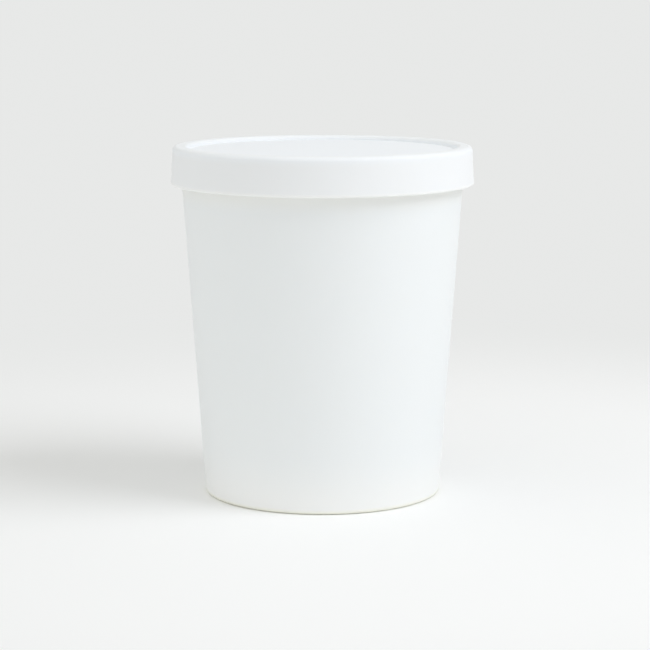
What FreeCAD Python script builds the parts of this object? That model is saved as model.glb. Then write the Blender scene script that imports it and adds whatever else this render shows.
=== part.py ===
"""A one-quart ice cream tub with its press-on lid, shut.

Two mouldings of white plastic, each turned about the Z axis, in millimetres.

The tub is a tapered cup with a rounded foot, a hollowed underside and a collar under its rim. It is
shut and can't be seen into, so it is one solid from its underside up to the lid.

The lid is a thin cover. Its crest is a channel that presses over the rim. Inside the crest the lid
drops to a narrow groove and a flat panel, and outside it runs down round the collar as a flared
skirt with a hem.

The origin is on the floor, on the axis. +Z points up, to the lid.
"""

import FreeCAD
import Part

import os

import Sketcher

# Each row is the alias, the value in millimetres and what it measures.
SIZES = [
    ("tub_height", 135.5, "floor to the top of the rim"),
    ("mouth_diameter", 111.4, "outside of the wall, carried up to the top of the rim"),
    ("base_diameter", 92.4, "outside of the wall, carried down to the floor"),
    ("base_round", 1.3, "radius where the wall turns under the tub"),
    ("foot_width", 3.0, "flat ring that the tub stands on"),
    ("recess_height", 1.6, "underside above the floor"),
    ("recess_slope", 0.9, "run of the sloped side of the underside"),
    ("recess_round", 0.5, "radius at the top of that sloped side"),
    ("gate_diameter", 7.0, "dimple in the middle of the underside"),
    ("gate_depth", 0.5, "depth of the dimple"),
    ("nub_diameter", 1.8, "stub left by the moulding, in the dimple"),
    ("nub_height", 0.35, "height of the stub"),
    ("collar_proud", 1.3, "how far the collar stands out of the wall"),
    ("collar_height", 13.3, "top of the rim down to the foot of the collar"),
    ("collar_slope", 1.0, "height of the sloped underside of the collar"),
    ("rim_width", 3.2, "rim, from its inside to the outside of the collar"),
    ("rim_round", 0.4, "radius inside the rim and at the foot of the collar"),
    ("lid_wall", 1.1, "thickness of the lid"),
    ("lid_clearance", 0.2, "gap between the lid and the rim, on each side"),
    ("fill_gap", 0.1, "gap between the lid and the filled tub under it"),
    ("skirt_height", 15.0, "lid, from the crest to the bottom of the hem"),
    ("skirt_flare", 0.5, "how much the skirt widens on its way down"),
    ("shoulder_round", 2.0, "radius where the crest turns down into the skirt"),
    ("crest_round", 1.4, "radius where the crest turns down to the groove"),
    ("groove_depth", 2.0, "crest down to the bottom of the groove"),
    ("groove_width", 1.6, "groove, from the crest to the panel"),
    ("groove_round", 0.5, "radius at the foot of the crest, in the groove"),
    ("panel_raise", 0.35, "panel above the bottom of the groove"),
    ("hem_height", 3.6, "thicker band along the bottom of the skirt"),
    ("hem_slope", 1.6, "height over which the hem grows out of the skirt"),
    ("hem_proud", 0.2, "how far the hem stands out of the skirt"),
    ("hem_round", 0.75, "radius on the outer lower edge of the hem"),
]

ON_AXIS = "0"
ON_FLOOR = "0"

# Radii of the tub, as expressions on the sheet. Each is the distance from the axis.
BASE = "(Sizes.base_diameter / 2)"
MOUTH = "(Sizes.mouth_diameter / 2)"
FOOT_INNER = f"({BASE} - Sizes.base_round - Sizes.foot_width)"
RECESS_EDGE = f"({FOOT_INNER} - Sizes.recess_slope)"
GATE = "(Sizes.gate_diameter / 2)"
NUB = "(Sizes.nub_diameter / 2)"
COLLAR = f"({MOUTH} + Sizes.collar_proud)"
RIM_INNER = f"({COLLAR} - Sizes.rim_width)"

# Heights of the tub above the floor.
RIM_TOP = "Sizes.tub_height"
COLLAR_FOOT = "(Sizes.tub_height - Sizes.collar_height)"
WALL_TOP = f"({COLLAR_FOOT} - Sizes.collar_slope)"
FILL_TOP = "(Sizes.tub_height - Sizes.groove_depth - Sizes.fill_gap)"
RECESS_TOP = "Sizes.recess_height"
GATE_TOP = "(Sizes.recess_height + Sizes.gate_depth)"
NUB_FOOT = f"({GATE_TOP} - Sizes.nub_height)"

# The wall would run straight from the floor to the mouth. This is its radius where the collar starts.
NECK = f"({BASE} + ({MOUTH} - {BASE}) * {WALL_TOP} / Sizes.tub_height)"

# Radii of the lid, worked out from the channel that holds the rim.
CHANNEL_OUTER = f"({COLLAR} + Sizes.lid_clearance)"
CHANNEL_INNER = f"({RIM_INNER} - Sizes.lid_clearance)"
SHOULDER = f"({CHANNEL_OUTER} + Sizes.lid_wall)"
SKIRT_FOOT = f"({SHOULDER} + Sizes.skirt_flare)"
SKIRT_FOOT_INNER = f"({CHANNEL_OUTER} + Sizes.skirt_flare)"
HEM_OUTER = f"({SKIRT_FOOT} + Sizes.hem_proud)"
WELL = f"({CHANNEL_INNER} - Sizes.lid_wall)"
PANEL_EDGE = f"({WELL} - Sizes.groove_width)"
GROOVE_EDGE = f"({PANEL_EDGE} + Sizes.panel_raise)"

# Heights of the lid above the floor. The underside of its crest rests on the top of the rim.
CREST = "(Sizes.tub_height + Sizes.lid_wall)"
GROOVE_TOP = f"({CREST} - Sizes.groove_depth)"
GROOVE_UNDER = f"({GROOVE_TOP} - Sizes.lid_wall)"
PANEL_TOP = f"({GROOVE_TOP} + Sizes.panel_raise)"
PANEL_UNDER = f"({PANEL_TOP} - Sizes.lid_wall)"
HEM_BOTTOM = f"({CREST} - Sizes.skirt_height)"
HEM_TOP = f"({HEM_BOTTOM} + Sizes.hem_height)"
HEM_SHOULDER = f"({HEM_TOP} - Sizes.hem_slope)"

# Rounds that follow from other sizes. The rim nests in the rounded corner of the channel. The rounds
# at the head and the foot of the crest share its height, and the two under the hem its thickness.
CHANNEL_ROUND = "Sizes.shoulder_round - Sizes.lid_wall"
LIP_ROUND = "Sizes.shoulder_round - Sizes.lid_wall - Sizes.lid_clearance"
CREST_ROUND = "min(Sizes.crest_round; (Sizes.groove_depth - Sizes.groove_round) * 0.95)"
HEM_THICKNESS = "(Sizes.lid_wall + Sizes.hem_proud)"
HEM_OUTER_ROUND = f"min(Sizes.hem_round; {HEM_THICKNESS} * 0.6)"
HEM_INNER_ROUND = f"{HEM_THICKNESS} * 0.3"

# Two circles nearer than this, in millimetres, are the same edge.
SAME_PLACE = 1e-4


def make_sheet(doc):
    """The spreadsheet of driving dimensions: what each is, its value and its alias."""
    sheet = doc.addObject("Spreadsheet::Sheet", "Sizes")
    for row, (alias, value, meaning) in enumerate(SIZES, start=1):
        sheet.set(f"A{row}", meaning)
        sheet.set(f"B{row}", str(value))
        sheet.setAlias(f"B{row}", alias)
    doc.recompute()


def make_body(doc, label):
    """An empty body. Its label names the piece and its file."""
    body = doc.addObject("PartDesign::Body", label.capitalize())
    body.Label = label
    return body


def draw_section(body, name, corners):
    """A closed outline of straight lines on the body's XZ plane: half of a turned section.

    Each corner is two expressions, its distance from the axis and its height, and stays tied to
    them. Rounds are added to the turned solid afterwards.
    """
    sketch = body.newObject("Sketcher::SketchObject", name)
    plane = next(item for item in body.Origin.OriginFeatures if item.Role == "XZ_Plane")
    sketch.AttachmentSupport = [(plane, "")]
    sketch.MapMode = "FlatFace"

    points = [FreeCAD.Vector(body.evalExpression(r), body.evalExpression(z), 0) for r, z in corners]
    for start, end in zip(points, points[1:] + points[:1]):
        sketch.addGeometry(Part.LineSegment(start, end), False)
    for line in range(len(corners)):
        following = (line + 1) % len(corners)
        sketch.addConstraint(Sketcher.Constraint("Coincident", line, 2, following, 1))

    for line, (radius, height) in enumerate(corners):
        if radius == ON_AXIS:
            sketch.addConstraint(Sketcher.Constraint("PointOnObject", line, 1, -2))
        else:
            tie(sketch, "DistanceX", line, radius, points[line].x)
        if height == ON_FLOOR:
            sketch.addConstraint(Sketcher.Constraint("PointOnObject", line, 1, -1))
        else:
            tie(sketch, "DistanceY", line, height, points[line].y)
    return sketch


def tie(sketch, kind, line, expression, value):
    """Holds the start of a line at a distance from the origin that follows the expression."""
    index = sketch.addConstraint(Sketcher.Constraint(kind, -1, 1, line, 1, value))
    sketch.setExpression(f"Constraints[{index}]", expression)


def turn(body, kind, name, corners):
    """A Revolution or a Groove: the outline turned all the way round the Z axis."""
    sketch = draw_section(body, f"{name}Section", corners)
    feature = body.newObject(f"PartDesign::{kind}", name)
    feature.Profile = sketch
    feature.ReferenceAxis = (sketch, ["V_Axis"])
    feature.Angle = 360
    body.Document.recompute()


def round_off(body, name, radius, *circles):
    """A fillet on circular edges about the axis, each found by its radius and its height."""
    before = body.Tip
    edges = []
    for circle in circles:
        found = find_circle(before.Shape, *[body.evalExpression(text) for text in circle])
        if not found:
            raise RuntimeError(f"{name}: there is no edge at {circle}")
        edges += found
    fillet = body.newObject("PartDesign::Fillet", name)
    fillet.Base = (before, edges)
    fillet.setExpression("Radius", radius)
    body.Document.recompute()


def find_circle(shape, radius, height):
    """The names of the edges that lie on one circle about the axis."""
    return [
        f"Edge{number}"
        for number, edge in enumerate(shape.Edges, start=1)
        if isinstance(edge.Curve, Part.Circle)
        and abs(edge.Curve.Radius - radius) < SAME_PLACE
        and abs(edge.Curve.Center.z - height) < SAME_PLACE
    ]


def make_tub(doc):
    """The tub: tapered wall, collar and what fills it in one solid, with a hollow under it."""
    body = make_body(doc, "tub")
    wall = [
        (ON_AXIS, ON_FLOOR),
        (BASE, ON_FLOOR),
        (NECK, WALL_TOP),
        (COLLAR, COLLAR_FOOT),
        (COLLAR, RIM_TOP),
        (RIM_INNER, RIM_TOP),
        (RIM_INNER, FILL_TOP),
        (ON_AXIS, FILL_TOP),
    ]
    turn(body, "Revolution", "Wall", wall)

    uncut = body.Shape.Volume
    underside = [
        (ON_AXIS, ON_FLOOR),
        (FOOT_INNER, ON_FLOOR),
        (RECESS_EDGE, RECESS_TOP),
        (GATE, RECESS_TOP),
        (GATE, GATE_TOP),
        (NUB, GATE_TOP),
        (NUB, NUB_FOOT),
        (ON_AXIS, NUB_FOOT),
    ]
    turn(body, "Groove", "Underside", underside)
    if body.Shape.Volume >= uncut:
        raise RuntimeError("the underside was not cut out of the tub")

    round_off(body, "BaseRound", "Sizes.base_round", (BASE, ON_FLOOR))
    round_off(body, "RecessRound", "Sizes.recess_round", (RECESS_EDGE, RECESS_TOP))
    round_off(body, "LipRound", LIP_ROUND, (COLLAR, RIM_TOP))
    round_off(body, "RimRound", "Sizes.rim_round", (RIM_INNER, RIM_TOP))
    round_off(body, "CollarRound", "Sizes.rim_round", (COLLAR, COLLAR_FOOT))
    return body


def make_lid(doc):
    """The lid: panel, groove, crest, skirt and hem in one thin moulding."""
    body = make_body(doc, "lid")
    outside = [
        (ON_AXIS, PANEL_TOP),
        (PANEL_EDGE, PANEL_TOP),
        (GROOVE_EDGE, GROOVE_TOP),
        (WELL, GROOVE_TOP),
        (WELL, CREST),
        (SHOULDER, CREST),
        (SKIRT_FOOT, HEM_TOP),
        (HEM_OUTER, HEM_SHOULDER),
        (HEM_OUTER, HEM_BOTTOM),
    ]
    inside = [
        (SKIRT_FOOT_INNER, HEM_BOTTOM),
        (CHANNEL_OUTER, RIM_TOP),
        (CHANNEL_INNER, RIM_TOP),
        (CHANNEL_INNER, GROOVE_UNDER),
        (GROOVE_EDGE, GROOVE_UNDER),
        (PANEL_EDGE, PANEL_UNDER),
        (ON_AXIS, PANEL_UNDER),
    ]
    turn(body, "Revolution", "Cover", outside + inside)

    round_off(body, "ShoulderRound", "Sizes.shoulder_round", (SHOULDER, CREST))
    round_off(body, "ChannelRound", CHANNEL_ROUND, (CHANNEL_OUTER, RIM_TOP))
    round_off(body, "CrestRound", CREST_ROUND, (WELL, CREST))
    round_off(body, "GrooveRound", "Sizes.groove_round", (WELL, GROOVE_TOP))
    round_off(body, "HemRound", HEM_OUTER_ROUND, (HEM_OUTER, HEM_BOTTOM))
    round_off(body, "HemInnerRound", HEM_INNER_ROUND, (SKIRT_FOOT_INNER, HEM_BOTTOM))
    return body


def check(doc, bodies):
    """Stops the build if a feature failed or a body isn't one valid solid."""
    for item in doc.Objects:
        if "Invalid" in item.State or "Error" in item.State:
            raise RuntimeError(f"{item.Label} failed: {item.State}")
    for body in bodies:
        shape = body.Shape
        if shape.isNull() or not shape.isValid() or len(shape.Solids) != 1:
            raise RuntimeError(f"{body.Label} is not one valid solid")


def main():
    doc = FreeCAD.newDocument("IceCreamTub")
    make_sheet(doc)
    bodies = [make_tub(doc), make_lid(doc)]
    doc.recompute()
    check(doc, bodies)
    os.makedirs("parts", exist_ok=True)
    for body in bodies:
        body.Shape.exportStep(f"parts/{body.Label}.step")
        box = body.Shape.optimalBoundingBox(False, False)
        print(f"{body.Label}: {box.XLength:.2f} x {box.YLength:.2f} x {box.ZLength:.2f} mm")


main()
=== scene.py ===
"""The looks of a shut ice cream tub: white moulded plastic, standing in a pale studio.

The file is laid out as an add-on and run as a script. Lengths are in metres, in the frame of the
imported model: the origin is on the floor, on the axis of the tub, and +Z points up.
"""

import math
from collections import namedtuple

import bmesh
import bpy
from bpy.props import FloatProperty, FloatVectorProperty, IntProperty, PointerProperty
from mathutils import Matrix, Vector


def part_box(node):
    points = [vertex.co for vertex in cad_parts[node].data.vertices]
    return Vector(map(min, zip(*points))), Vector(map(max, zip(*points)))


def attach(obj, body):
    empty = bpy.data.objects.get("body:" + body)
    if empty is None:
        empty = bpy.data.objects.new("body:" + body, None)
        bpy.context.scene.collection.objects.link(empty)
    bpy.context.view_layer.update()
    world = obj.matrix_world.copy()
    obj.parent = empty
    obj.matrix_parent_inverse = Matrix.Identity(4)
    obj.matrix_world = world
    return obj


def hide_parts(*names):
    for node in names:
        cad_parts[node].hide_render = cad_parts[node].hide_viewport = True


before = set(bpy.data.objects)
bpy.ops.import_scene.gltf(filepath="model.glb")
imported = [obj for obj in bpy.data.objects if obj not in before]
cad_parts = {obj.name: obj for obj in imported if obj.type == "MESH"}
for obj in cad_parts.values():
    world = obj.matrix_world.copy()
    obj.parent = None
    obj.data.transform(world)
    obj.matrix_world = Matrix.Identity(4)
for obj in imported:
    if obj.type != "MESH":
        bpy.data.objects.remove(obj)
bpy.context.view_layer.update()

bl_info = {
    "name": "Ice Cream Tub",
    "version": (1, 0, 0),
    "blender": (4, 5, 0),
    "location": "View3D > Sidebar > Ice Cream Tub",
    "description": "Builds a shut ice cream tub with its press-on lid, and a pale studio for it",
    "category": "Object",
}

TUB_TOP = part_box("tub")[1]
LID_LOW, LID_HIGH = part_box("lid")
MILLIMETRE = 0.001

FLOOR_RADIUS = 6.0
FLOOR_SIDES = 96
# The floor lies a hair below the foot, so that no two faces share a plane.
FLOOR_DROP = 0.05 * MILLIMETRE


# ---------------------------------------------------------------- sizes and colours


def length(name, description, default):
    """A size in metres that a user can change."""
    return FloatProperty(
        name=name, description=description, default=default, min=0.0, precision=5, unit="LENGTH"
    )


def angle(name, description, degrees):
    """An angle that a user can change."""
    return FloatProperty(
        name=name, description=description, default=math.radians(degrees), subtype="ANGLE"
    )


def share(name, description, default):
    """A number from nought to one that a user can change."""
    return FloatProperty(
        name=name, description=description, default=default, min=0.0, max=1.0, subtype="FACTOR"
    )


def strength(name, description, default):
    """A strength of light that a user can change. It may be below nought where it is added to another."""
    return FloatProperty(name=name, description=description, default=default, subtype="FACTOR")


def colour(name, description, default):
    """A colour that a user can change."""
    return FloatVectorProperty(
        name=name, description=description, default=default, min=0.0, max=1.0, subtype="COLOR"
    )


class TubSizes(bpy.types.PropertyGroup):
    """Sizes of the tub."""

    rim_radius: length("Rim radius", "Outside of the collar that the lid covers", TUB_TOP.x)
    rim_top: length("Rim top", "Height of the rim above the floor", TUB_TOP.z)
    rim_width: length("Rim width", "Rim, from its inside to the outside of the collar", 3.2 * MILLIMETRE)
    collar_height: length("Collar height", "Collar, from the rim down", 13.3 * MILLIMETRE)
    collar_slope: length("Collar slope", "Height of the collar's sloped underside", 1.0 * MILLIMETRE)
    collar_proud: length("Collar proud", "How far the collar stands out of the wall", 1.3 * MILLIMETRE)
    rim_round: length("Rim round", "Radius inside the rim and at the collar's foot", 0.4 * MILLIMETRE)
    lip_round: length("Lip round", "Radius from the rim's top to its outside", 0.7 * MILLIMETRE)
    fill_drop: length("Fill drop", "Rim down to what fills the tub", 2.1 * MILLIMETRE)
    base_radius: length("Base radius", "Outside of the wall, carried down to the floor", 46.2 * MILLIMETRE)
    base_round: length("Base round", "Radius where the wall turns under the tub", 1.3 * MILLIMETRE)
    foot_width: length("Foot width", "Flat ring that the tub stands on", 3.0 * MILLIMETRE)
    recess_height: length("Recess height", "Underside above the floor", 1.6 * MILLIMETRE)
    recess_slope: length("Recess slope", "Run of the sloped side of the underside", 0.9 * MILLIMETRE)
    recess_round: length("Recess round", "Radius at the top of that side", 0.5 * MILLIMETRE)
    gate_radius: length("Gate radius", "Dimple in the middle of the underside", 3.5 * MILLIMETRE)
    gate_depth: length("Gate depth", "Depth of the dimple", 0.5 * MILLIMETRE)
    nub_radius: length("Nub radius", "Stub left by the moulding, in the dimple", 0.9 * MILLIMETRE)
    nub_height: length("Nub height", "Height of the stub", 0.35 * MILLIMETRE)
    sides: IntProperty(name="Sides", description="Steps round the tub and the lid", default=256, min=32)


class LidSizes(bpy.types.PropertyGroup):
    """Sizes of the lid."""

    hem_radius: length("Hem radius", "Outside of the hem", LID_HIGH.x)
    crest: length("Crest", "Height of the crest above the floor", LID_HIGH.z)
    hem_bottom: length("Hem bottom", "Height of the hem above the floor", LID_LOW.z)
    wall: length("Wall", "Thickness of the lid", 1.1 * MILLIMETRE)
    clearance: length("Clearance", "Gap between the lid and the rim, on each side", 0.2 * MILLIMETRE)
    skirt_flare: length("Skirt flare", "How much the skirt widens on its way down", 0.5 * MILLIMETRE)
    shoulder_round: length("Shoulder round", "Radius from the crest to the skirt", 2.0 * MILLIMETRE)
    crest_round: length("Crest round", "Radius from the crest to the groove", 1.4 * MILLIMETRE)
    groove_depth: length("Groove depth", "Crest down to the groove", 2.0 * MILLIMETRE)
    groove_width: length("Groove width", "Groove, from the crest to the panel", 1.6 * MILLIMETRE)
    groove_round: length("Groove round", "Radius at the foot of the crest", 0.5 * MILLIMETRE)
    panel_raise: length("Panel raise", "Panel above the bottom of the groove", 0.35 * MILLIMETRE)
    panel_round: length("Panel round", "Radius on the edge of the panel", 0.3 * MILLIMETRE)
    hem_height: length("Hem height", "Thicker band along the bottom of the skirt", 3.6 * MILLIMETRE)
    hem_slope: length("Hem slope", "Height over which the hem grows out of the skirt", 1.6 * MILLIMETRE)
    hem_proud: length("Hem proud", "How far the hem stands out of the skirt", 0.2 * MILLIMETRE)
    hem_round: length("Hem round", "Radius on the outer lower edge", 0.75 * MILLIMETRE)
    hem_inner_round: length("Hem inner round", "Radius on the inner lower edge", 0.4 * MILLIMETRE)


class Finish(bpy.types.PropertyGroup):
    """Colours and surface of the plastic, and whites by height that paint light and shade on it."""

    tub_colour: colour("Tub colour", "White of the tub", (0.886, 0.911, 0.917))
    # Painted light: a lighter white towards the foot, standing in for light bounced up from the floor.
    painted_floor_light: colour("Foot colour", "Lighter white of the tub towards its foot", (0.938, 0.947, 0.937))
    painted_floor_light_reach: length("Foot reach", "Height over which that white fades", 24 * MILLIMETRE)
    # Painted shade: a warm white where the tub meets the floor, standing in for the warm tint of the
    # contact shade.
    painted_contact_shade: colour("Base colour", "Warm white of the tub where it meets the floor", (0.93, 0.93, 0.82))
    painted_contact_shade_reach: length("Base reach", "Height over which that white fades", 2.2 * MILLIMETRE)
    # Painted light: a lighter, warmer white under the lid, standing in for light that fills the lid's shade
    # there.
    painted_under_lid_light: colour("Neck colour", "Warmer white of the tub under the lid", (0.928, 0.938, 0.914))
    painted_under_lid_light_reach: length("Neck reach", "Height over which that white fades", 7.5 * MILLIMETRE)
    lid_colour: colour("Lid colour", "White of the lid", (0.90, 0.916, 0.927))
    # Painted highlight: a lighter white along the lid's lower edge, standing in for light from the floor
    # catching it.
    painted_hem_highlight: colour("Hem colour", "Lighter white of the lid at its lower edge", (0.97, 0.975, 0.965))
    painted_hem_highlight_reach: length("Hem reach", "Height over which that white fades", 1.6 * MILLIMETRE)
    # Painted light: a bluer, lighter white on the lid's top, standing in for the bluish light and
    # reflection from above.
    painted_top_light: colour("Top colour", "Bluer white of the lid's top", (0.918, 0.952, 0.985))
    painted_top_light_reach: length("Top reach", "Height over which that white fades", 4 * MILLIMETRE)
    # Painted shade: a darker white along the crest, dimming the highlight on its shoulder.
    painted_crest_shade: colour("Crest colour", "Quieter white along the crest of the lid", (0.900, 0.920, 0.932))
    painted_crest_shade_reach: length("Crest reach", "Height over which that white fades", 1.4 * MILLIMETRE)
    tub_roughness: share("Tub roughness", "Satin of the tub", 0.55)
    lid_roughness: share("Lid roughness", "Satin of the lid", 0.75)
    milkiness: share("Milkiness", "Light that spreads in the plastic", 0.15)
    relief: length("Relief", "Depth of the fine unevenness left by the mould", 0.02 * MILLIMETRE)


class Studio(bpy.types.PropertyGroup):
    """Floor, background, light and camera."""

    floor_colour: colour("Floor colour", "Paper that the tub stands on", (0.958, 0.963, 0.959))
    background: colour("Background", "What is seen behind and far from the tub", (0.8045, 0.8125, 0.805))
    fade_start: length("Fade start", "Where the floor starts to fade into the background", 0.18)
    fade_end: length("Fade end", "Where the floor has faded into the background", 0.45)
    sky_colour: colour("Sky colour", "Colour of the light from all round", (1.0, 1.0, 0.98))
    sky_level: strength("Sky level", "Strength of the light from all round", 0.376)
    sky_sides: strength("Sky sides", "Strength added towards the left and the right", 0.29)
    sky_lean: FloatVectorProperty(
        name="Sky lean",
        description="Strength added towards each axis",
        default=(-0.195, -0.127, 0.379),
        size=3,
    )
    key_colour: colour("Key colour", "Colour of the softbox", (0.94, 0.955, 1.0))
    key_power: FloatProperty(
        name="Key power", description="Softbox, in watts", default=10.3, min=0.0, unit="POWER"
    )
    key_size: length("Key size", "Width of the softbox", 1.1)
    key_distance: length("Key distance", "Tub to the softbox", 1.6)
    key_turn: angle("Key turn", "Softbox round from the right, towards the camera", 22)
    key_rise: angle("Key rise", "Softbox above the floor", 45)
    camera_distance: length("Camera distance", "Axis of the tub to the camera, level", 0.882)
    camera_height: length("Camera height", "Floor to the camera", 0.203)
    camera_aside: length("Camera aside", "Camera to the right of the axis", 0.001)
    camera_dip: angle("Camera dip", "Camera looking down", 8.85)
    camera_lens: FloatProperty(
        name="Camera lens", description="Focal length in millimetres", default=125.4, min=1.0
    )


# ---------------------------------------------------------------- turned pieces

# A corner of a turned outline: its distance from the axis, its height, and its radius if rounded.
Corner = namedtuple("Corner", "radius height round", defaults=[0.0])

SAME_PLACE = 1e-6
ARC_STEP = math.radians(9)
SMOOTH_UP_TO = math.radians(32)


def turn_piece(name, corners, sides):
    """A closed piece turned about Z. A disc's edge is extruded from corner to corner, then rounded.

    The first and last corners are the rims of the flat faces that close the piece at the axis.
    """
    bpy.ops.object.select_all(action="DESELECT")
    first = corners[0]
    bpy.ops.mesh.primitive_circle_add(
        vertices=sides, radius=first.radius, fill_type="TRIFAN", location=(0, 0, first.height)
    )
    piece = bpy.context.object
    piece.name = name
    piece.data.name = name
    bpy.ops.object.transform_apply(location=True, rotation=False, scale=False)

    bpy.ops.object.mode_set(mode="EDIT")
    bpy.ops.mesh.region_to_loop()
    for here, there in zip(corners, corners[1:]):
        rise = (0, 0, there.height - here.height)
        bpy.ops.mesh.extrude_region_move(TRANSFORM_OT_translate={"value": rise})
        growth = there.radius / here.radius
        bpy.ops.transform.resize(value=(growth, growth, 1), center_override=(0, 0, there.height))
    bpy.ops.mesh.extrude_region_move()
    bpy.ops.mesh.merge(type="CENTER")

    for before, corner, after in zip(corners, corners[1:], corners[2:]):
        if corner.round:
            round_corner(piece, before, corner, after)
    close_and_smooth(piece)
    return piece


def round_corner(piece, before, corner, after):
    """Bevels the ring at a corner to an arc of the corner's radius."""
    bpy.ops.mesh.select_all(action="DESELECT")
    mesh = bmesh.from_edit_mesh(piece.data)
    for edge in mesh.edges:
        if all(is_on(vertex.co, corner) for vertex in edge.verts):
            edge.select_set(True)
    bmesh.update_edit_mesh(piece.data)

    towards_before = Vector((before.radius - corner.radius, before.height - corner.height))
    towards_after = Vector((after.radius - corner.radius, after.height - corner.height))
    opening = towards_before.angle(towards_after)
    tangent = corner.round / math.tan(opening / 2)
    steps = max(3, round((math.pi - opening) / ARC_STEP))
    bpy.ops.mesh.bevel(offset=tangent, segments=steps, affect="EDGES", clamp_overlap=False)


def is_on(point, corner):
    """Whether a point lies on the ring of a corner."""
    across = math.hypot(point.x, point.y) - corner.radius
    return abs(across) < SAME_PLACE and abs(point.z - corner.height) < SAME_PLACE


def close_and_smooth(piece):
    """Leaves edit mode with a closed mesh whose faces point outwards and whose rounds look smooth."""
    bpy.ops.mesh.select_all(action="SELECT")
    bpy.ops.mesh.remove_doubles(threshold=SAME_PLACE)
    bpy.ops.mesh.normals_make_consistent(inside=False)
    bpy.ops.object.mode_set(mode="OBJECT")
    bpy.ops.object.shade_smooth_by_angle(angle=SMOOTH_UP_TO)
    bpy.ops.object.modifier_add(type="WEIGHTED_NORMAL")
    weighted = piece.modifiers[-1]
    weighted.keep_sharp = True
    bpy.ops.object.modifier_apply(modifier=weighted.name)


def stand_for(piece, node, material):
    """The piece takes the place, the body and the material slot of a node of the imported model."""
    piece.data.materials.clear()
    piece.data.materials.append(material)
    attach(piece, "root")
    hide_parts(node)


# ---------------------------------------------------------------- shader maths


class Graph:
    """A node tree that is being written."""

    def __init__(self, tree):
        self.tree = tree
        tree.nodes.clear()

    def add(self, kind, settings=None, sockets=None):
        """Adds a node. Its settings are set first, then its sockets, to a value or by a link."""
        node = self.tree.nodes.new(kind)
        for name, value in (settings or {}).items():
            setattr(node, name, value)
        for name, value in (sockets or {}).items():
            if isinstance(value, Number):
                value = value.socket
            if isinstance(value, bpy.types.NodeSocket):
                self.tree.links.new(value, node.inputs[name])
            else:
                node.inputs[name].default_value = value
        return node

    def number(self, node, output):
        """An output of a node, to be used in sums."""
        return Number(self, node.outputs[output])


class Number:
    """A number that varies over a surface. Sums and products of it become Math nodes."""

    def __init__(self, graph, socket):
        self.graph = graph
        self.socket = socket

    def math(self, operation, first, second):
        node = self.graph.add("ShaderNodeMath", {"operation": operation}, {0: first, 1: second})
        return self.graph.number(node, "Value")

    def __add__(self, other):
        return self.math("ADD", self, other)

    def __radd__(self, other):
        return self.math("ADD", other, self)

    def __sub__(self, other):
        return self.math("SUBTRACT", self, other)

    def __rsub__(self, other):
        return self.math("SUBTRACT", other, self)

    def __mul__(self, other):
        return self.math("MULTIPLY", self, other)

    def __rmul__(self, other):
        return self.math("MULTIPLY", other, self)

    def larger(self, other):
        return self.math("MAXIMUM", self, other)


def noise(graph, place, scale, detail):
    """Even noise about zero, with features of about 1 / scale metres."""
    node = graph.add("ShaderNodeTexNoise", {}, {"Vector": place, "Scale": scale, "Detail": detail})
    return graph.number(node, "Fac") - 0.5


def seen_directly(graph):
    """One for rays that show things to the eye: from the camera, a gloss or a clear surface."""
    path = graph.add("ShaderNodeLightPath")
    camera, gloss, clear = [
        graph.number(path, output) for output in ("Is Camera Ray", "Is Glossy Ray", "Is Transmission Ray")
    ]
    return camera.larger(gloss).larger(clear)


# ---------------------------------------------------------------- materials


# A band of painted light or shade, another white mixed into the moulding's white: the height it starts at,
# and how far up the white reaches from it, or how far down if the reach is below nought.
PaintedBand = namedtuple("PaintedBand", "colour height reach")

# How many features of each kind of unevenness there are to a metre.
CLOUDS = 28
PEEL = 420
GRAIN = 2600
DRAW_LINES = 900
# The draw lines run up the moulding, so they change this much more slowly along Z.
ALONG_DRAW = 0.04

# What the clouds shade the white to where they are thickest, and how quickly they get there.
CLOUD_SHADE = 0.985
CLOUD_CONTRAST = 0.8
PLASTIC_IOR = 1.49
# How deep light spreads in the plastic, and how much of that red, green and blue light does.
SPREAD_DEPTH = 1.6 * MILLIMETRE
SPREAD_SHARES = (1.0, 0.95, 0.9)

# The tooth of the paper: how many bumps there are to a metre, and how deep they are.
PAPER_TOOTH = 700
PAPER_TOOTH_DEPTH = 0.02 * MILLIMETRE
PAPER_ROUGHNESS = 0.8
PAPER_GLOSS = 0.2


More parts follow.
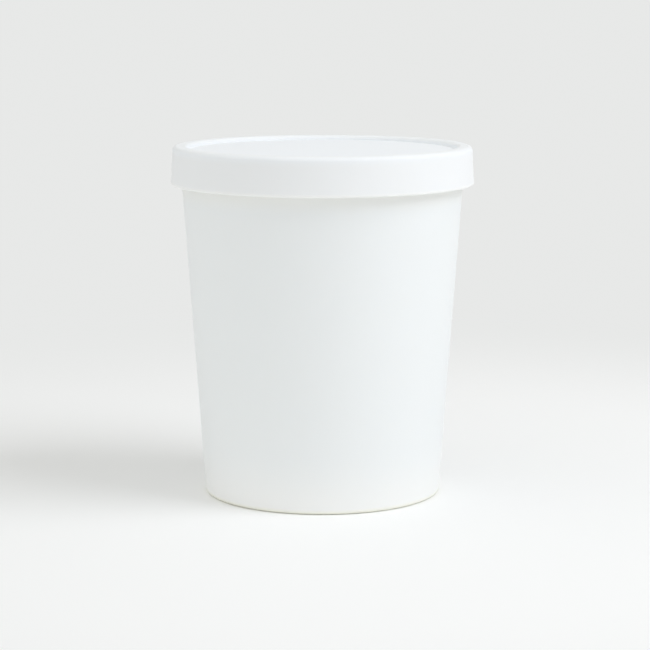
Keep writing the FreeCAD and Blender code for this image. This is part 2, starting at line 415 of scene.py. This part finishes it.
def moulded_plastic(name, white, edges, roughness, finish):
    """Satin white plastic from a mould: faintly cloudy, with fine grain and fine lines up the draw."""
    material = bpy.data.materials.new(name)
    material.use_nodes = True
    graph = Graph(material.node_tree)
    place = graph.add("ShaderNodeTexCoord").outputs["Object"]
    drawn = graph.add(
        "ShaderNodeMapping", {"vector_type": "POINT"}, {"Vector": place, "Scale": (1.0, 1.0, ALONG_DRAW)}
    )

    clouds = noise(graph, place, CLOUDS, detail=3)
    peel = noise(graph, place, PEEL, detail=2)
    grain = noise(graph, place, GRAIN, detail=1)
    lines = noise(graph, drawn.outputs["Vector"], DRAW_LINES, detail=2)

    tone = (*white, 1)
    height = graph.add("ShaderNodeSeparateXYZ", {}, {"Vector": place}).outputs["Z"]
    # Painted light and shade: each band mixes another white into the white, fading over its reach from its
    # height.
    for edge in edges:
        away = graph.add(
            "ShaderNodeMapRange",
            {"interpolation_type": "SMOOTHSTEP"},
            {"Value": height, "From Min": edge.height, "From Max": edge.height + edge.reach},
        )
        mixed = graph.add(
            "ShaderNodeMix",
            {"data_type": "RGBA", "blend_type": "MIX"},
            {"Factor": away.outputs["Result"], "A": (*edge.colour, 1), "B": tone},
        )
        tone = mixed.outputs["Result"]
    shade = graph.add(
        "ShaderNodeMix",
        {"data_type": "RGBA", "blend_type": "MULTIPLY"},
        {"Factor": 0.5 - clouds * CLOUD_CONTRAST, "A": tone, "B": (*[CLOUD_SHADE] * 3, 1)},
    )
    unevenness = peel * 0.6 + grain * 0.25 + lines * 0.35
    bump = graph.add(
        "ShaderNodeBump", {}, {"Strength": 1.0, "Distance": finish.relief, "Height": unevenness}
    )
    plastic = graph.add(
        "ShaderNodeBsdfPrincipled",
        {"subsurface_method": "RANDOM_WALK"},
        {
            "Base Color": shade.outputs["Result"],
            "Roughness": clouds * 0.08 + grain * 0.06 + lines * 0.05 + roughness,
            "IOR": PLASTIC_IOR,
            "Subsurface Weight": finish.milkiness,
            "Subsurface Radius": SPREAD_SHARES,
            "Subsurface Scale": SPREAD_DEPTH,
            "Normal": bump.outputs["Normal"],
        },
    )
    graph.add("ShaderNodeOutputMaterial", {}, {"Surface": plastic.outputs["BSDF"]})
    return material


def floor_paper(studio):
    """Matt pale paper that fades, far from the tub, into the background."""
    material = bpy.data.materials.new("floor_paper")
    material.use_nodes = True
    graph = Graph(material.node_tree)
    place = graph.add("ShaderNodeTexCoord").outputs["Object"]
    away = graph.number(graph.add("ShaderNodeVectorMath", {"operation": "LENGTH"}, {0: place}), "Value")
    fade = graph.add(
        "ShaderNodeMapRange",
        {"interpolation_type": "SMOOTHSTEP"},
        {"Value": away, "From Min": studio.fade_start, "From Max": studio.fade_end},
    )
    tooth = noise(graph, place, PAPER_TOOTH, detail=3)
    bump = graph.add(
        "ShaderNodeBump", {}, {"Strength": 0.3, "Distance": PAPER_TOOTH_DEPTH, "Height": tooth}
    )
    paper = graph.add(
        "ShaderNodeBsdfPrincipled",
        {},
        {
            "Base Color": (*studio.floor_colour, 1),
            "Roughness": tooth * 0.05 + PAPER_ROUGHNESS,
            "Specular IOR Level": PAPER_GLOSS,
            "Normal": bump.outputs["Normal"],
        },
    )
    distance = graph.add("ShaderNodeEmission", {}, {"Color": (*studio.background, 1), "Strength": 1.0})
    share_of_background = graph.number(fade, "Result") * seen_directly(graph)
    mixed = graph.add(
        "ShaderNodeMixShader",
        {},
        {0: share_of_background, 1: paper.outputs["BSDF"], 2: distance.outputs["Emission"]},
    )
    graph.add("ShaderNodeOutputMaterial", {}, {"Surface": mixed.outputs["Shader"]})
    return material


def studio_sky(studio):
    """Soft light from all round, and the plain background that is seen in its place."""
    world = bpy.data.worlds.new("studio_sky")
    world.use_nodes = True
    graph = Graph(world.node_tree)
    direction = graph.add("ShaderNodeTexCoord").outputs["Generated"]
    lean = graph.add(
        "ShaderNodeVectorMath", {"operation": "DOT_PRODUCT"}, {0: direction, 1: studio.sky_lean}
    )
    sideways = graph.number(graph.add("ShaderNodeSeparateXYZ", {}, {"Vector": direction}), "X")
    level = graph.number(lean, "Value") + sideways * sideways * studio.sky_sides + studio.sky_level
    level = level.larger(0.0)
    light = graph.add("ShaderNodeBackground", {}, {"Color": (*studio.sky_colour, 1), "Strength": level})
    shown = graph.add("ShaderNodeBackground", {}, {"Color": (*studio.background, 1), "Strength": 1.0})
    mixed = graph.add(
        "ShaderNodeMixShader",
        {},
        {0: seen_directly(graph), 1: light.outputs["Background"], 2: shown.outputs["Background"]},
    )
    graph.add("ShaderNodeOutputWorld", {}, {"Surface": mixed.outputs["Shader"]})
    return world


# ---------------------------------------------------------------- operators


class TUB_OT_build_tub(bpy.types.Operator):
    """Builds the tub: wall, collar and rim, rounded foot and hollowed underside"""

    bl_idname = "tub.build_tub"
    bl_label = "Build Tub"
    bl_options = {"REGISTER", "UNDO"}

    def execute(self, context):
        size = context.scene.tub_sizes
        finish = context.scene.tub_finish
        foot = size.base_radius - size.base_round - size.foot_width
        recess = foot - size.recess_slope
        gate_top = size.recess_height + size.gate_depth
        nub_foot = gate_top - size.nub_height
        collar_foot = size.rim_top - size.collar_height
        wall_top = collar_foot - size.collar_slope
        mouth = size.rim_radius - size.collar_proud
        neck = size.base_radius + (mouth - size.base_radius) * wall_top / size.rim_top
        rim_inner = size.rim_radius - size.rim_width
        fill_top = size.rim_top - size.fill_drop
        corners = [
            Corner(size.nub_radius, nub_foot),
            Corner(size.nub_radius, gate_top),
            Corner(size.gate_radius, gate_top),
            Corner(size.gate_radius, size.recess_height),
            Corner(recess, size.recess_height, size.recess_round),
            Corner(foot, 0.0),
            Corner(size.base_radius, 0.0, size.base_round),
            Corner(neck, wall_top),
            Corner(size.rim_radius, collar_foot, size.rim_round),
            Corner(size.rim_radius, size.rim_top, size.lip_round),
            Corner(rim_inner, size.rim_top, size.rim_round),
            Corner(rim_inner, fill_top),
        ]
        piece = turn_piece("tub_wall", corners, size.sides)
        edges = [
            # Painted light from the floor, lightening the wall towards its foot.
            PaintedBand(finish.painted_floor_light, 0.0, finish.painted_floor_light_reach),
            # Painted warm contact shade where the tub meets the floor.
            PaintedBand(finish.painted_contact_shade, 0.0, finish.painted_contact_shade_reach),
            # Painted light under the lid, lifting the lid's shade on the wall.
            PaintedBand(finish.painted_under_lid_light, wall_top, -finish.painted_under_lid_light_reach),
        ]
        material = moulded_plastic("tub_plastic", finish.tub_colour, edges, finish.tub_roughness, finish)
        stand_for(piece, "tub", material)
        return {"FINISHED"}


class TUB_OT_build_lid(bpy.types.Operator):
    """Builds the lid: panel, groove, crest, skirt and hem"""

    bl_idname = "tub.build_lid"
    bl_label = "Build Lid"
    bl_options = {"REGISTER", "UNDO"}

    def execute(self, context):
        tub = context.scene.tub_sizes
        lid = context.scene.lid_sizes
        finish = context.scene.tub_finish
        channel_outer = tub.rim_radius + lid.clearance
        channel_inner = tub.rim_radius - tub.rim_width - lid.clearance
        shoulder = channel_outer + lid.wall
        well = channel_inner - lid.wall
        panel_edge = well - lid.groove_width
        groove_edge = panel_edge + lid.panel_raise
        skirt_foot = lid.hem_radius - lid.hem_proud
        hem_top = lid.hem_bottom + lid.hem_height
        groove_top = lid.crest - lid.groove_depth
        panel_top = groove_top + lid.panel_raise
        channel_top = lid.crest - lid.wall
        channel_round = lid.shoulder_round - lid.wall
        outside = [
            Corner(panel_edge, panel_top, lid.panel_round),
            Corner(groove_edge, groove_top),
            Corner(well, groove_top, lid.groove_round),
            Corner(well, lid.crest, lid.crest_round),
            Corner(shoulder, lid.crest, lid.shoulder_round),
            Corner(skirt_foot, hem_top),
            Corner(lid.hem_radius, hem_top - lid.hem_slope),
            Corner(lid.hem_radius, lid.hem_bottom, lid.hem_round),
        ]
        inside = [
            Corner(channel_outer + lid.skirt_flare, lid.hem_bottom, lid.hem_inner_round),
            Corner(channel_outer, channel_top, channel_round),
            Corner(channel_inner, channel_top),
            Corner(channel_inner, groove_top - lid.wall),
            Corner(groove_edge, groove_top - lid.wall),
            Corner(panel_edge, panel_top - lid.wall),
        ]
        piece = turn_piece("lid_cover", outside + inside, tub.sides)
        edges = [
            # Painted highlight along the lid's lower edge.
            PaintedBand(finish.painted_hem_highlight, lid.hem_bottom, finish.painted_hem_highlight_reach),
            # Painted light from above on the lid's top.
            PaintedBand(finish.painted_top_light, lid.crest, -finish.painted_top_light_reach),
            # Painted shade along the crest, dimming its highlight.
            PaintedBand(finish.painted_crest_shade, lid.crest, -finish.painted_crest_shade_reach),
        ]
        material = moulded_plastic("lid_plastic", finish.lid_colour, edges, finish.lid_roughness, finish)
        stand_for(piece, "lid", material)
        return {"FINISHED"}


class TUB_OT_build_studio(bpy.types.Operator):
    """Builds the floor, the light from all round, the softbox and the camera"""

    bl_idname = "tub.build_studio"
    bl_label = "Build Studio"
    bl_options = {"REGISTER", "UNDO"}

    def execute(self, context):
        studio = context.scene.tub_studio
        context.scene.view_settings.view_transform = "Standard"
        context.scene.world = studio_sky(studio)

        bpy.ops.object.select_all(action="DESELECT")
        bpy.ops.mesh.primitive_circle_add(
            vertices=FLOOR_SIDES, radius=FLOOR_RADIUS, fill_type="NGON", location=(0, 0, -FLOOR_DROP)
        )
        floor = context.object
        floor.name = "floor"
        floor.data.materials.append(floor_paper(studio))

        level = studio.key_distance * math.cos(studio.key_rise)
        place = Vector(
            (
                level * math.cos(studio.key_turn),
                -level * math.sin(studio.key_turn),
                studio.key_distance * math.sin(studio.key_rise),
            )
        )
        bpy.ops.object.light_add(type="AREA", location=place)
        key = context.object
        key.name = "softbox"
        key.rotation_euler = (-place).to_track_quat("-Z", "Y").to_euler()
        key.data.shape = "DISK"
        key.data.size = studio.key_size
        key.data.color = studio.key_colour
        key.data.energy = studio.key_power

        bpy.ops.object.camera_add(
            location=(studio.camera_aside, -studio.camera_distance, studio.camera_height),
            rotation=(math.pi / 2 - studio.camera_dip, 0, 0),
        )
        camera = context.object
        camera.data.lens = studio.camera_lens
        context.scene.camera = camera
        return {"FINISHED"}


class TUB_PT_sidebar(bpy.types.Panel):
    """Lists the pieces and their sizes in the 3D view's sidebar"""

    bl_idname = "TUB_PT_sidebar"
    bl_label = "Ice Cream Tub"
    bl_space_type = "VIEW_3D"
    bl_region_type = "UI"
    bl_category = "Ice Cream Tub"

    def draw(self, context):
        scene = context.scene
        for operator in (TUB_OT_build_tub, TUB_OT_build_lid, TUB_OT_build_studio):
            self.layout.operator(operator.bl_idname)
        for group in (scene.tub_sizes, scene.lid_sizes, scene.tub_finish, scene.tub_studio):
            box = self.layout.box()
            for name in group.bl_rna.properties.keys():
                if name not in ("rna_type", "name"):
                    box.prop(group, name)


CLASSES = (
    TubSizes,
    LidSizes,
    Finish,
    Studio,
    TUB_OT_build_tub,
    TUB_OT_build_lid,
    TUB_OT_build_studio,
    TUB_PT_sidebar,
)


def register():
    """Adds the sizes, the operators and the panel to Blender."""
    for item in CLASSES:
        bpy.utils.register_class(item)
    bpy.types.Scene.tub_sizes = PointerProperty(type=TubSizes)
    bpy.types.Scene.lid_sizes = PointerProperty(type=LidSizes)
    bpy.types.Scene.tub_finish = PointerProperty(type=Finish)
    bpy.types.Scene.tub_studio = PointerProperty(type=Studio)


def unregister():
    """Takes them out again."""
    for name in ("tub_sizes", "lid_sizes", "tub_finish", "tub_studio"):
        delattr(bpy.types.Scene, name)
    for item in reversed(CLASSES):
        bpy.utils.unregister_class(item)


def main():
    """Builds the tub, the lid and the studio."""
    register()
    bpy.ops.tub.build_tub()
    bpy.ops.tub.build_lid()
    bpy.ops.tub.build_studio()


if __name__ == "__main__":
    main()
